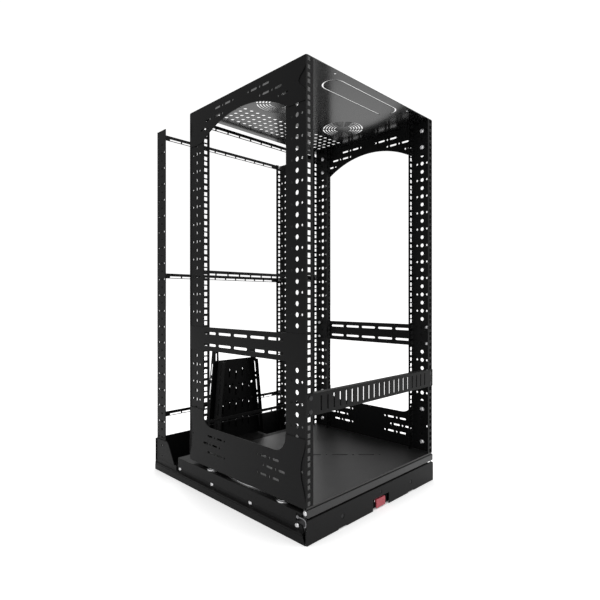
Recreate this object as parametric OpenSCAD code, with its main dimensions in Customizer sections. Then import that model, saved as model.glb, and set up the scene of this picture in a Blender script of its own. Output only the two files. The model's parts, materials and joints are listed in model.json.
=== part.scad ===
// Pull-out, turning 19 inch equipment rack on a low floor base.
// Frame: X to the right, front faces -Y, Z up, origin under the middle of the base.

/* [Rack] */
// Rack height in rack units of 44.45
units = 20; // [18:1:24]
// Overall width of the rack
rack_w = 482.6; // [480:0.2:484]
// Depth of the rack from post face to post face
rack_d = 420; // [400:10:440]
// Height of the rack floor above the ground
floor_z = 74.3; // [74:0.1:76]
// Sheet thickness of the posts and plates they carry
post_t = 2; // [1.5:0.1:2.5]
// Sheet thickness of the side plates and braces
sheet_t = 1.5; // [1.2:0.1:1.6]
// Width of a post's side web
web_w = 60; // [56:1:64]
// Width of a post's rail flange
flange_w = 20; // [18:1:22]

/* [Base] */
// Width of the base tray
base_w = 486; // [484:1:490]
// Depth of the base tray, with the front plate shut
base_d = 603; // [600:1:610]
// Height of the base's rear wall
wall_h = 88; // [80:1:95]
// Height of the uprights behind the rack
upright_h = 958.6; // [900:0.1:960]
// Distance from the base front to the turning axis
axis_setback = 212.5; // [212:0.5:214]

/* [Slides] */
// Length of each slide member
slide_l = 480; // [470:5:485]
// Height of the outer slide member
slide_h = 45; // [43:1:46]

/* [Turntable] */
// Outer radius of the lower race plate
race_r = 235; // [233:0.5:236]
// Radius of the ball circle
ball_circle_r = 195; // [193:0.5:196]
// Ball diameter
ball_d = 6; // [5.8:0.1:6.2]
// Number of balls
ball_count = 36; // [24:4:48]

/* [Vent panel] */
// Which rack unit the panel fills, counted from the top
panel_unit = 16; // [15:1:16]
// Number of slots in the panel
panel_slots = 21; // [15:2:21]

/* [Hidden] */
$fn = 48;
U = 44.45;
rack_h = units * U;
hw = rack_w / 2;
hd = rack_d / 2;
base_hw = base_w / 2;
base_y0 = -base_d / 2;
base_y1 = base_d / 2;
rack_y = base_y0 + axis_setback;
rail_pitch = 465.1;
rail_x = rail_pitch / 2;
rail_hole = 9.5;
eia = [6.35, 22.225, 38.1];
column_in = 13.6;
large_column_in = 28;
rear_column_in = 43;
top_t = 1.5;
bar_h = 14.3;
ear_in = 5.75;
rear_bar_z = [upright_h, upright_h - 9 * U, upright_h - 18 * U];
rack_bar_z = [953, 560.5, 159.5];
rack_bar_hole_z = [941.1, 556.9, 156.85];
carriage_z = 60;
race_cut = 204.8;
skirt_z = 35.3;
skirt_x = hw;
slide_x = 235;
slide_z = 8.5;
recess_x = -slide_x - 1.6;
gusset_y = base_y1 - 110;
slide_y = base_y0 + 11.5;
screw_z = 29.5;
screw_first = 33.3;
screw_pitch = 148.5;
rail_inner_x = slide_x - 12.7;
front_y = base_y0;
upright_back = base_y1 - 4;
upright_deep = 45;
upright_x = -hw + 3;
latch_x = 5.5;
latch_w = 34.5;
latch_pin_y = front_y + 7;
latch_pin_z = 19;
lever_y = front_y + 26.5;
lever_z = 50;
arm_y = 284;
arm_pin = [52, 290];
steel = [0.13, 0.13, 0.13];
dark = [0.08, 0.08, 0.08];
zinc = [0.75, 0.75, 0.77];

// ---------- placing helpers ----------

// Draws what is made for the left side, on the left (-1) or the right (1)
module on_side(side) mirror([side > 0 ? 1 : 0, 0, 0]) children();

// Draws what is made for the front, at the front (-1) or the back (1)
module on_end(end) mirror([0, end > 0 ? 1 : 0, 0]) children();

// Moves from the rack's own frame, on its floor at the turning axis
module in_rack() translate([0, rack_y, floor_z]) children();

// A sheet that stands along the depth: outline x is depth, outline y is height
module side_sheet(x, t) translate([x, 0, 0]) rotate([90, 0, 90]) linear_extrude(t) children();

// A sheet that stands across the width: outline x is width, outline y is height
module cross_sheet(y, t) translate([0, y + t, 0]) rotate([90, 0, 0]) linear_extrude(t) children();

module slot(l, w) {
    square([l - w, w], center = true);
    for (s = [-1, 1]) translate([s * (l - w) / 2, 0]) circle(d = w);
}

// The waste outside a rounded corner at the origin that opens towards +x +y
module corner_waste(r) difference() {
    translate([-1, -1]) square(r + 1);
    translate([r, r]) circle(r);
}

// A round-headed screw along +x: the head grows from the origin towards -x
module round_screw(head_d, head_h, shank_d, shank_l) {
    rotate([0, -90, 0]) intersection() {
        cylinder(d = head_d, h = head_h);
        translate([0, 0, head_h - head_d * 0.62]) sphere(head_d * 0.62);
    }
    rotate([0, 90, 0]) cylinder(d = shank_d, h = shank_l);
}

// ---------- rack ----------

// Square rail holes of one flange, for an outline of width by height
module rail_holes() for (n = [0 : units - 1], e = eia)
    translate([-rail_x, rack_h - n * U - e]) square(rail_hole, center = true);

// Web holes: a column of large ones every half unit between two columns of small ones
module web_holes() {
    for (n = [1 : 2 * units - 1]) translate([large_column_in, rack_h - n * U / 2]) circle(d = 10);
    for (n = [0 : units - 1], y = [column_in, rear_column_in])
        translate([y, rack_h - (n + 0.5) * U]) circle(d = 5.5);
}

// A front left post: a channel with a rail flange at each edge of its web
module post() color(steel) {
    post_h = rack_h - top_t;
    web_x = -hw + sheet_t;
    translate([0, -hd, 0]) {
        cross_sheet(0, post_t) difference() {
            translate([-hw, 0]) square([flange_w, post_h]);
            rail_holes();
        }
        cross_sheet(web_w - post_t, post_t) difference() {
            translate([web_x, 0]) square([flange_w - sheet_t, post_h]);
            rail_holes();
        }
        side_sheet(web_x, post_t) difference() {
            translate([post_t / 2, 0]) square([web_w - post_t, post_h]);
            web_holes();
        }
    }
}

// Half of the soft wave cut into a plate's upright edge: depth of the cut at height z
function wave(z, mid, half, deep) = abs(z - mid) < half ? deep * (1 + cos(180 * (z - mid) / half)) / 2 : 0;

// Outline of a plate that spans the depth, with a wave in both upright edges
module waved_outline(z0, z1, mid, half, deep) {
    edge = hd - post_t - 0.3;
    steps = 40;
    rise = (z1 - z0) / steps;
    front = [for (i = [0 : steps]) [-edge + wave(z0 + i * rise, mid, half, deep), z0 + i * rise]];
    back = [for (i = [steps : -1 : 0]) [edge - wave(z0 + i * rise, mid, half, deep), z0 + i * rise]];
    polygon(concat(front, back));
}

// Slots and the dots between them, mirrored about the middle of the depth
module slot_row(z, slots, dots, l = 22, w = 5) for (s = [-1, 1]) {
    for (y = slots) translate([s * y, z]) slot(l, w);
    for (y = dots) translate([s * y, z]) circle(d = w);
}

// Threaded blind holes in a plate's inner face, for the bolts that come through the post webs
module blind_holes(in, heights, d) for (s = [-1, 1], z = heights)
    translate([-hw + 0.5, s * (hd - in), z]) rotate([0, 90, 0]) cylinder(d = d, h = 3);

top_bolt_z = [rack_h - U / 2, rack_h - 3 * U / 2];
bottom_bolt_z = [U / 2, 5 * U / 2];
brace_bolt_z = [rack_h - 13.5 * U, rack_h - 12.5 * U];

module side_top() color(steel) difference() {
    top = rack_h;
    arch_r = 290;
    side_sheet(-hw, sheet_t) difference() {
        waved_outline(top - 2 * U, top, top - 46, 27, 20);
        translate([0, top - 43 - arch_r]) circle(arch_r, $fn = 96);
        slot_row(top - 19, [48, 88], [28, 68]);
        slot_row(top - 38.5, [88, 128], [68, 108]);
        slot_row(top - 58, [148], [128]);
    }
    blind_holes(large_column_in, top_bolt_z, 6.2);
}

module side_bottom() color(steel) difference() {
    low = -4;
    cut_z = 168 - floor_z;
    corner = 34;
    half = hd - web_w;
    side_sheet(-hw, sheet_t) difference() {
        waved_outline(low, 3 * U, 69, 66, 14);
        translate([-half + corner, cut_z]) square([2 * (half - corner), 60]);
        translate([-half, cut_z + corner]) square([2 * half, 60]);
        for (s = [-1, 1]) translate([s * (half - corner), cut_z + corner]) circle(corner);
        slot_row(147 - floor_z, [80, 120], [60, 100], 20);
        slot_row(127 - floor_z, [100, 138], [80, 119], 20);
        slot_row(107 - floor_z, [80, 120], [60, 100], 20);
    }
    blind_holes(large_column_in, bottom_bolt_z, 6.2);
}

module mid_brace() color(steel) difference() {
    mid = rack_h - 13 * U;
    edge = hd - post_t - 0.3;
    side_sheet(-hw, sheet_t) difference() {
        translate([-edge, mid - 29]) square([2 * edge, 58]);
        for (k = [-2 : 2], s = [-1, 1]) translate([60 * k, mid + s * 14.5]) slot(49, 6);
    }
    blind_holes(column_in, brace_bolt_z, 5.7);
}

// Concentric arc slots of a fan guard, crossed by four spokes
module fan_guard() difference() {
    for (k = [0 : 4]) difference() {
        circle(26 + 7.5 * k);
        circle(22.3 + 7.5 * k);
    }
    for (a = [45, 135]) rotate(a) square([120, 4], center = true);
}

module top_plate() color(steel) in_rack() translate([0, 0, rack_h - top_t]) linear_extrude(top_t)
    difference() {
        square([rack_w - 2 * sheet_t, rack_d], center = true);
        translate([-2, -160]) difference() {
            slot(254, 54);
            slot(247, 47);
            translate([108, 0]) square([18, 60]);
        }
        for (s = [-1, 1]) {
            translate([s * 121.4, 0]) fan_guard();
            translate([s * 139.8, -196.5]) circle(d = 6);
        }
        for (i = [-10 : 10], j = [0 : 4]) translate([20 * i, 83 + 20 * j]) circle(d = 10.4);
    }

module floor_plate() color(steel) in_rack() {
    w = rack_w - 2 * sheet_t;
    translate([0, 0, -post_t]) linear_extrude(post_t) difference() {
        square([w, rack_d], center = true);
        rotate(-45) for (k = [-2 : 2]) translate([70 * k, 0]) {
            slot(42, 5);
            translate([35, 0]) circle(d = 5);
        }
    }
    for (s = [-1, 1]) translate([-w / 2, s * (hd - 0.75) - 0.75, -4]) cube([w, 1.5, 3]);
}

// A lacing bar: a strip with a row of slots near its lower edge, and an ear round each
// of its two screw holes, which lie hole_drop below the top edge
module bar_outline(w, hole_drop) difference() {
    union() {
        translate([-w / 2, -bar_h]) square([w, bar_h]);
        for (s = [-1, 1]) translate([s * (w / 2 - 9), -hole_drop]) square([18, 16], center = true);
    }
    for (k = [-6 : 5]) if (abs(k * 40 + 20) < w / 2 - 24)
        translate([k * 40 + 20, -bar_h + 4]) square([36, 4.5], center = true);
    for (s = [-1, 1]) translate([s * (w / 2 - ear_in), -hole_drop]) circle(d = 5.2);
}

// Screws that hold the bars, each with a square nut that fills the rail hole from the front
module bar_screws(x, y, heights) for (s = [-1, 1], z = heights) translate([s * x, y + sheet_t, z]) {
    rotate([0, 0, -90]) round_screw(9, 2.2, 5, sheet_t + post_t + 1.8);
    translate([-4.6, -sheet_t - post_t - 0.1, -4.6]) cube([9.2, post_t, 9.2]);
    translate([-4.6, -sheet_t - post_t - 1.6, -6.5]) cube([9.2, 1.5, 13]);
}

module rack_bar(i) color(steel) in_rack() cross_sheet(hd, sheet_t)
    translate([0, rack_bar_z[i] - floor_z]) bar_outline(rack_w - 6, rack_bar_z[i] - rack_bar_hole_z[i]);

module rack_bar_screws() color(zinc) in_rack()
    bar_screws(rail_x, hd, [for (z = rack_bar_hole_z) z - floor_z]);

module rack_bolts() color(zinc) in_rack() for (e = [-1, 1]) {
    x = -hw + sheet_t + post_t;
    for (z = concat(top_bolt_z, bottom_bolt_z))
        translate([x, e * (hd - large_column_in), z]) rotate([0, 0, 180]) round_screw(13, 4.5, 6, 2.9);
    for (z = brace_bolt_z)
        translate([x, e * (hd - column_in), z]) rotate([0, 0, 180]) round_screw(10, 3.5, 5.3, 2.9);
}

panel_z0 = rack_h - panel_unit * U + 0.4;
panel_h = 43.6;

module vent_panel() color([0.19, 0.19, 0.19]) in_rack() {
    cross_sheet(-hd - 2, 1.9) difference() {
        translate([-hw, panel_z0]) square([rack_w, panel_h]);
        for (k = [0 : panel_slots - 1])
            translate([20 * (k - (panel_slots - 1) / 2), panel_z0 + panel_h / 2]) rotate(90) slot(32, 4.6);
        for (s = [-1, 1], e = [eia[0], eia[2]])
            translate([s * rail_x, panel_z0 - 0.4 + U - e]) slot(10, 6.6);
    }
    for (z = [panel_z0, panel_z0 + panel_h - 1.5])
        translate([-rail_x + 18, -hd - 0.2, z]) cube([rail_pitch - 36, 12, 1.5]);
}

module panel_screws() color(dark) in_rack() for (s = [-1, 1], e = [eia[0], eia[2]])
    translate([s * rail_x, -hd - 2, panel_z0 - 0.4 + U - e]) rotate([0, 0, 90]) round_screw(10, 0.5, 5.6, 9);

module cage_nuts() color(zinc) in_rack() for (s = [-1, 1], e = [eia[0], eia[2]])
    translate([s * rail_x, -hd + post_t, panel_z0 - 0.4 + U - e]) rotate([-90, 0, 0]) difference() {
        translate([-5, -5.5, 0.1]) cube([10, 11, 5.5]);
        translate([0, 0, -1]) cylinder(d = 5.8, h = 8);
    }

// ---------- cable arm behind the rack ----------

leaf_h = 231;

// Tapered outline of the inner leaf, shrunk by a margin on every side
module leaf_outline(m) polygon([
    [-122 + m, -2.5 + m], [45 - m, -2.5 + m], [21 - m, leaf_h - m], [-101 + m, leaf_h - m]
]);

// The outer leaf reaches farther to the left, where a strip of it rises above the rest
module outer_outline(m) polygon([
    [-132 + m, -2.5 + m], [43 - m, -2.5 + m], [19 - m, leaf_h - 2 - m], [-92 - m, leaf_h - 2 - m],
    [-93 - m, 257 - m], [-106.5 + m, 257 - m]
]);

// A column of long slots and dots through both side flanges of a leaf, at depth y
module flange_slots(y) {
    for (z = [36, 92, 148, 204])
        translate([0, y, z]) rotate([0, 90, 0]) linear_extrude(320, center = true) slot(34, 5);
    for (z = [64, 120, 176])
        translate([0, y, z]) rotate([0, 90, 0]) cylinder(d = 6, h = 320, center = true);
}

// Rows of upright slots with dots between them
module leaf_slots() for (i = [0 : 4]) {
    x = -86 + 24 * i;
    for (j = [0 : 3]) translate([x, 38 + 48 * j + 8 * (i % 2)]) rotate(90) slot(26, 5.5);
    for (j = [0 : 2]) translate([x + 12, 60 + 48 * j]) circle(d = 7);
}

// A knuckle of the arm's hinge, bored for its pin
module knuckle(z, h) translate([arm_pin[0], arm_pin[1], z]) cylinder(d = 9, h = h);

module cable_shelf() color(dark) in_rack() {
    translate([-122, hd, -4]) cube([167, 88, 1.5]);
    translate([-122, hd, -2.5]) cube([167, 1.5, 2.5]);
}

module cable_arm_inner() color(dark) in_rack() difference() {
    union() {
        cross_sheet(arm_y - 1.5, 1.5) difference() {
            leaf_outline(0);
            leaf_slots();
        }
        cross_sheet(arm_y - 34, 32.5) difference() {
            leaf_outline(0);
            leaf_outline(1.5);
            translate([-150, -10]) square([300, 12]);
            translate([-150, leaf_h - 2]) square([300, 12]);
        }
        cross_sheet(arm_y - 24, 24) polygon([[22.4, 200], [23.9, 200], [16.5, 270], [15, 270]]);
        for (z = [6, 66]) {
            knuckle(z, 16);
            translate([30, arm_y - 1.5, z]) cube([19, 1.5, 16]);
            translate([47.5, arm_y - 1.5, z]) cube([1.5, 7, 16]);
        }
    }
    translate([arm_pin[0], arm_pin[1], -5]) cylinder(d = 4.1, h = 110);
    flange_slots(arm_y - 17);
}

module arm_hinge_pin() color(zinc) in_rack() {
    translate([arm_pin[0], arm_pin[1], 2]) cylinder(d = 4, h = 84);
    translate([arm_pin[0], arm_pin[1], 82.4]) cylinder(d = 7, h = 3.6);
}

module cable_arm_outer() color(dark) in_rack() difference() {
    union() {
        cross_sheet(arm_pin[1] + 4, 1.5) difference() {
            outer_outline(0);
            translate([11.7, 17]) leaf_slots();
            translate([-100.5, 240]) rotate(90) slot(22, 4);
        }
        cross_sheet(arm_pin[1] + 5.4, 12) difference() {
            outer_outline(0);
            outer_outline(1.5);
            translate([-150, -10]) square([300, 14]);
            translate([-104, leaf_h - 12]) square([200, 60]);
        }
        knuckle(24, 40);
        translate([30, arm_pin[1] + 4, 24]) cube([20, 1.5, 40]);
        translate([48.5, arm_pin[1] + 3, 24]) cube([1.5, 2.5, 40]);
    }
    translate([arm_pin[0], arm_pin[1], -5]) cylinder(d = 4.3, h = 110);
    flange_slots(arm_pin[1] + 11.5);
}

// ---------- turntable ----------

module ball_groove() rotate_extrude($fn = 96)
    translate([ball_circle_r, 65.7]) circle(d = ball_d + 0.5);

module ring(r0, r1, z0, z1) translate([0, 0, z0]) difference() {
    cylinder(r = r1, h = z1 - z0, $fn = 96);
    translate([0, 0, -1]) cylinder(r = r0, h = z1 - z0 + 2, $fn = 96);
}

// The lower race is cut off square behind the front strip, and alike at the back
module lower_race() color(zinc) translate([0, rack_y, 0]) difference() {
    intersection() {
        ring(ball_circle_r - 13, race_r, carriage_z, 65);
        translate([-race_r - 1, -race_cut, 0]) cube([2 * race_r + 2, 2 * race_cut, 90]);
    }
    ball_groove();
}

module upper_race() color(zinc) translate([0, rack_y, 0]) difference() {
    ring(ball_circle_r - 9, ball_circle_r + 8.5, 66.4, floor_z - post_t);
    ball_groove();
}

module race_balls() color(zinc) translate([0, rack_y, 65.7]) for (i = [0 : ball_count - 1])
    rotate(i * 360 / ball_count) translate([ball_circle_r, 0, 0]) sphere(d = ball_d);

module glide_pads() color(zinc) for (s = [-1, 1], e = [-1, 1])
    translate([s * 221, rack_y + e * 128, carriage_z]) {
        cylinder(d = 38, h = 4);
        translate([0, 0, 4]) cylinder(d = 32, h = 2);
    }

// ---------- base ----------

// Section of the tray's side wall: outer lip, a step inwards, then a wall at x = face
module wall_section(face) polygon([
    [-base_hw, 0], [-base_hw, 15.5], [-base_hw + 1, 16], [-base_hw + 1, 17.5], [-base_hw, 18],
    [-base_hw, 19.5], [face, 21.2], [face, 33.5], [face + sheet_t, 33.5], [face + sheet_t, 19],
    [-base_hw + 2.3, 15], [-base_hw + 2.3, 0]
]);

// The wall's front end leans back, clear of the front plate
module side_wall() difference() {
    union() {
        translate([0, gusset_y + 1, 0]) rotate([90, 0, 0])
            linear_extrude(gusset_y + 1 - base_y0 - 4) wall_section(recess_x);
        translate([0, base_y1, 0]) rotate([90, 0, 0])
            linear_extrude(base_y1 - gusset_y) wall_section(-base_hw + 3);
    }
    side_sheet(-base_hw - 1, 10) polygon([
        [base_y0 + 3, -1], [base_y0 + 4, -1], [base_y0 + 20, 34], [base_y0 + 3, 34]
    ]);
    slide_screw_places() rotate([0, 90, 0]) translate([0, 0, -1]) cylinder(d = 5.2, h = 12);
}

module slide_screw_places() for (i = [0 : 3])
    translate([recess_x, base_y0 + screw_first + i * screw_pitch, screw_z]) children();

module gusset() side_sheet(-base_hw + 3.2, 1.4) difference() {
    polygon([
        [gusset_y, 2], [gusset_y + 7, 28], [base_y1 - 68, wall_h - 6],
        [base_y1 - 60, wall_h], [base_y1, wall_h], [base_y1, 2]
    ]);
    upright_bolt_places() circle(d = 6.2);
}

// Where the uprights are bolted to the gussets: depth and height
module upright_bolt_places() for (z = [46, 74]) translate([base_y1 - 34, z]) children();

module base_tray() color(steel) difference() {
    union() {
        translate([-base_hw, base_y0 + 10, 0]) cube([base_w, base_d - 10, 2]);
        for (side = [-1, 1]) on_side(side) {
            side_wall();
            gusset();
        }
        translate([-base_hw + 1, base_y1 - 1.5, 0]) cube([base_w - 2, 1.5, wall_h]);
    }
    for (x = [-190, 190], y = [-240, 240]) translate([x, y, -1]) cylinder(d = 9, h = 4);
}

// A left upright: a channel web with a rail flange at the back
module rear_upright() color(steel) {
    back = upright_back;
    deep = upright_deep;
    x = upright_x;
    translate([0, back - deep, 0]) {
        side_sheet(x, post_t) difference() {
            translate([0, 2]) square([deep - 1, upright_h - 2]);
            for (n = [0 : units - 2], y = [7, 35])
                translate([y, upright_h - 63 - n * U]) circle(d = 6);
            for (n = [0 : 2 * units - 3])
                translate([18, upright_h - 40.8 - n * U / 2]) circle(d = 7);
            translate([deep - back, 0]) upright_bolt_places() circle(d = 6.2);
        }
        cross_sheet(deep - post_t, post_t) difference() {
            translate([x, 2]) square([flange_w, upright_h - 2]);
            for (n = [0 : units - 2], e = eia)
                translate([-rail_x + 1, upright_h - n * U - e]) square(rail_hole, center = true);
        }
    }
}

module rear_bar(i) color(steel) cross_sheet(upright_back, sheet_t)
    translate([0, rear_bar_z[i]]) bar_outline(rack_w - 8, eia[0]);

module rear_bar_screws() color(zinc)
    bar_screws(rail_x - 1, upright_back, [for (z = rear_bar_z) z - eia[0]]);

module upright_bolts() color(zinc) for (s = [-1, 1], z = [46, 74])
    on_side(s) translate([upright_x + post_t, base_y1 - 34, z]) rotate([0, 0, 180]) round_screw(12, 4, 6, 3.4);

module slide_outer() color(zinc) difference() {
    top = slide_z + slide_h;
    translate([-slide_x, slide_y, 0]) {
        translate([0, 0, slide_z]) cube([1.3, slide_l, slide_h]);
        translate([0, 0, slide_z]) cube([9, slide_l, 1.3]);
        translate([0, 0, top - 1.3]) cube([9, slide_l, 1.3]);
    }
    slide_screw_places() rotate([0, 90, 0]) cylinder(d = 5.2, h = 12);
}

module slide_mid() color(zinc) translate([-slide_x, slide_y, slide_z]) {
    translate([2.8, 0, 4.5]) cube([1.3, slide_l, slide_h - 9]);
    translate([2.8, 0, 4.5]) cube([6.4, slide_l, 1.3]);
    translate([2.8, 0, slide_h - 5.8]) cube([6.4, slide_l, 1.3]);
}

module slide_inner() color(zinc) translate([-slide_x, slide_y, slide_z]) {
    translate([11.4, 0, 9.5]) cube([1.3, slide_l, slide_h - 19]);
    translate([5.2, 0, 9.5]) cube([7.5, slide_l, 1.3]);
    translate([5.2, 0, slide_h - 10.8]) cube([7.5, slide_l, 1.3]);
}

// Strips that carry the slide balls, above and below each sliding pair
module ball_cages() color(zinc) translate([-slide_x + 6.4, slide_y, slide_z])
    for (z = [2.9, slide_h - 2.9, 7.65, slide_h - 7.65]) {
        translate([-1, 100, z - 0.3]) cube([2, 280, 0.6]);
        for (i = [0 : 9]) translate([0, 114 + 28 * i, z]) sphere(d = 2.5);
    }

module slide_screws() color(zinc) slide_screw_places() round_screw(10.8, 2.8, 5, 3.6);

// ---------- carriage ----------

module carriage_tray() color(steel) {
    tray_y0 = base_y0 + 4.5;
    tray_l = 476;
    difference() {
        translate([-skirt_x, tray_y0, carriage_z - 2]) cube([2 * skirt_x, tray_l, 2]);
        translate([0, rack_y, carriage_z - 3]) cylinder(r = 172, h = 4);
        for (s = [-1, 1]) on_side(s)
            translate([-skirt_x - 1, tray_y0 - 1, carriage_z - 3]) cube([7.5, 9.5, 4]);
    }
    for (s = [-1, 1]) on_side(s) {
        translate([-skirt_x, base_y0 + 31.5, skirt_z]) cube([1.5, tray_l - 27, carriage_z - 1 - skirt_z]);
        translate([-rail_inner_x, slide_y, 14]) cube([1.5, tray_l - 7, carriage_z - 15]);
        translate([-skirt_x + 1.5, base_y0 + 18, 46]) cube([1, 18, carriage_z - 47]);
    }
    cross_sheet(tray_y0, 1.5) difference() {
        translate([-rail_inner_x, 8]) square([2 * rail_inner_x, carriage_z - 9]);
        translate([latch_x - 34.2, 7]) square([68.4, 20.6]);
        for (s = [-1, 1]) translate([s * 133, 24.6]) circle(d = 5.2);
        translate([latch_x - 1.5, 36.7]) circle(d = 4.2);
    }
    translate([-rail_inner_x, tray_y0 + tray_l - 1.5, 30]) cube([2 * rail_inner_x, 1.5, carriage_z - 31]);
}

// Upper front strip with its top ledge
module front_rail() color(steel) {
    z0 = 54.5;
    z1 = 69.5;
    w = rack_w - 2;
    difference() {
        union() {
            translate([-w / 2, front_y, z0]) cube([w, 1.5, z1 - z0]);
            translate([-w / 2, front_y, z1 - 1.5]) cube([w, 8, 1.5]);
            translate([-w / 2, front_y + 4.5, carriage_z]) cube([w, 1.5, z1 - carriage_z]);
            translate([-w / 2, front_y, z0]) cube([w, 4.5, 1.5]);
            for (s = [-1, 1]) on_side(s)
                translate([-w / 2, front_y, z0]) cube([1.5, 11, z1 - z0]);
        }
        translate([0, front_y, z1]) rotate([0, 90, 0]) linear_extrude(w + 4, center = true) corner_waste(1.4);
        for (s = [-1, 1]) on_side(s)
            translate([-w / 2 - 1, front_y + 7, 62.3]) rotate([0, 90, 0]) cylinder(d = 5.2, h = 8);
    }
}

module front_plate() color(steel) {
    z0 = 0.8;
    z1 = 49.5;
    w = base_w - 1;
    cross_sheet(front_y, 1.5) difference() {
        translate([-w / 2, z0]) square([w, z1 - z0]);
        translate([latch_x - 31.5, z0 - 1]) square([63, 27.2]);
        for (s = [-1, 1]) {
            translate([s * 133, z0]) square([28, 4], center = true);
            translate([s * 133, 24.6]) circle(d = 10.4);
            translate([s * (w / 2), z1]) mirror([s > 0 ? 1 : 0, 0]) mirror([0, 1]) corner_waste(5);
        }
        translate([latch_x - 1.5, 36.7]) circle(d = 6.8);
    }
    for (s = [-1, 1]) on_side(s) translate([-w / 2, front_y, z0 + 1]) cube([1.5, 3.4, 26]);
    translate([-w / 2 + 5, front_y, z1 - 1.5]) cube([w - 10, 4.5, 1.5]);
}

module front_screws() color(dark) {
    for (s = [-1, 1]) translate([s * 133, front_y, 24.6]) rotate([0, 0, 90]) front_screw(10, 5);
    translate([latch_x - 1.5, front_y, 36.7]) rotate([0, 0, 90]) front_screw(6.4, 4);
}

// A screw whose head lies flush in the front plate
module front_screw(head_d, shank_d) rotate([0, 90, 0]) {
    translate([0, 0, 0.2]) cylinder(d = head_d, h = 1.3);
    translate([0, 0, 1]) cylinder(d = shank_d, h = 6);
}

module corner_bolts() color(zinc) for (s = [-1, 1]) on_side(s)
    translate([-hw + 1, front_y + 7, 62.3]) round_screw(10, 3, 5, 5);

// A pressed box behind the cut-out, open to the front and below
module latch_housing() color(dark) difference() {
    union() {
        translate([latch_x - 34, front_y + 3, 27]) cube([68, 1.4, 7]);
        translate([latch_x - 34, front_y + 3, 26]) cube([68, 20, 1.4]);
        translate([latch_x - 34, front_y + 21.6, 4]) cube([68, 1.4, 23]);
        for (x = [-24.5, 23]) translate([latch_x + x, front_y + 3, 6]) cube([1.5, 18.6, 20]);
    }
    translate([latch_x, latch_pin_y, latch_pin_z]) rotate([0, 90, 0]) cylinder(d = 3, h = 60, center = true);
}

module latch_pin() color(zinc) translate([latch_x, latch_pin_y, latch_pin_z])
    rotate([0, 90, 0]) cylinder(d = 3, h = 52, center = true);

// Torsion spring wound round the pin beside the paddle
module latch_spring() color(zinc) translate([latch_x - 20.8, latch_pin_y, latch_pin_z])
    rotate([0, 90, 0]) for (i = [-1 : 1]) translate([0, 0, i * 1.25])
        rotate_extrude() translate([2.7, 0]) circle(d = 1.1, $fn = 16);

module latch_paddle() color([0.78, 0.25, 0.3]) difference() {
    union() {
        translate([latch_x - latch_w / 2, front_y + 0.6, 2.6]) cube([latch_w, 3, 20]);
        translate([latch_x, latch_pin_y, latch_pin_z]) rotate([0, 90, 0])
            cylinder(d = 7, h = latch_w, center = true);
        translate([latch_x - latch_w / 2, front_y + 3, latch_pin_z - 3]) cube([latch_w, 4, 6]);
        translate([latch_x - 8, front_y + 3, 4]) cube([16, 5, 13]);
    }
    translate([latch_x, latch_pin_y, latch_pin_z]) rotate([0, 90, 0])
        cylinder(d = 3.1, h = latch_w + 4, center = true);
}

module latch_strike() color(zinc) difference() {
    union() {
        translate([latch_x - 12, front_y + 26, 2]) cube([24, 20, 2]);
        translate([latch_x - 12, front_y + 26, 2]) cube([24, 2, 14]);
    }
    for (x = [-6, 6]) translate([latch_x + x, front_y + 38, 1]) cylinder(d = 4.4, h = 4);
}

// Small sprung lever at a front corner: ball top, arm back to its pivot, hook below
module turn_lever() color(zinc) difference() {
    union() {
        translate([-hw - 0.9, 0, 0]) {
            translate([0, lever_y, lever_z]) rotate([0, 90, 0]) cylinder(d = 7, h = 2);
            translate([0, lever_y - 20, lever_z - 1.6]) cube([2, 20, 3.2]);
            translate([0, lever_y - 20, lever_z]) rotate([0, 90, 0]) cylinder(d = 6, h = 2);
            translate([0, lever_y - 19.5, lever_z - 11]) rotate([0, 90, 0]) difference() {
                cylinder(d = 11, h = 2);
                translate([0, 1.5, -1]) cylinder(d = 6, h = 4);
                translate([-6, 0, -1]) cube([12, 12, 4]);
            }
        }
    }
    translate([-hw - 2, lever_y, lever_z]) rotate([0, 90, 0]) cylinder(d = 3.1, h = 6);
}

module lever_pins() color(zinc) for (s = [-1, 1]) on_side(s)
    translate([-hw, lever_y, lever_z]) rotate([0, 90, 0]) {
        translate([0, 0, -1]) cylinder(d = 3, h = 2.5);
        translate([0, 0, -1.7]) cylinder(d = 5, h = 0.7);
    }

base_tray();
on_side(-1) rear_upright();  // rear_upright_left
on_side(1) rear_upright();  // rear_upright_right
rear_bar(0);  // rear_bar_top
rear_bar(1);  // rear_bar_middle
rear_bar(2);  // rear_bar_low
rear_bar_screws();
on_side(-1) slide_outer();  // slide_outer_left
on_side(1) slide_outer();  // slide_outer_right
on_side(-1) slide_screws();  // slide_screws_left
on_side(1) slide_screws();  // slide_screws_right
upright_bolts();
latch_strike();
on_side(-1) slide_mid();  // slide_mid_left
on_side(1) slide_mid();  // slide_mid_right
on_side(-1) ball_cages();  // ball_cages_left
on_side(1) ball_cages();  // ball_cages_right
carriage_tray();
on_side(-1) slide_inner();  // slide_inner_left
on_side(1) slide_inner();  // slide_inner_right
front_rail();
front_plate();
lower_race();
glide_pads();
latch_housing();
latch_pin();
latch_spring();
corner_bolts();
front_screws();
lever_pins();
on_side(-1) turn_lever();  // turn_lever_left
on_side(1) turn_lever();  // turn_lever_right
latch_paddle();
upper_race();
race_balls();
floor_plate();
in_rack() post();  // post_front_left
in_rack() on_side(1) post();  // post_front_right
in_rack() on_end(1) post();  // post_rear_left
in_rack() on_side(1) on_end(1) post();  // post_rear_right
in_rack() side_top();  // side_top_left
in_rack() on_side(1) side_top();  // side_top_right
in_rack() side_bottom();  // side_bottom_left
in_rack() on_side(1) side_bottom();  // side_bottom_right
in_rack() mid_brace();  // mid_brace_left
in_rack() on_side(1) mid_brace();  // mid_brace_right
top_plate();
rack_bar(0);  // rack_bar_top
rack_bar(1);  // rack_bar_middle
rack_bar(2);  // rack_bar_low
rack_bar_screws();
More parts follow.
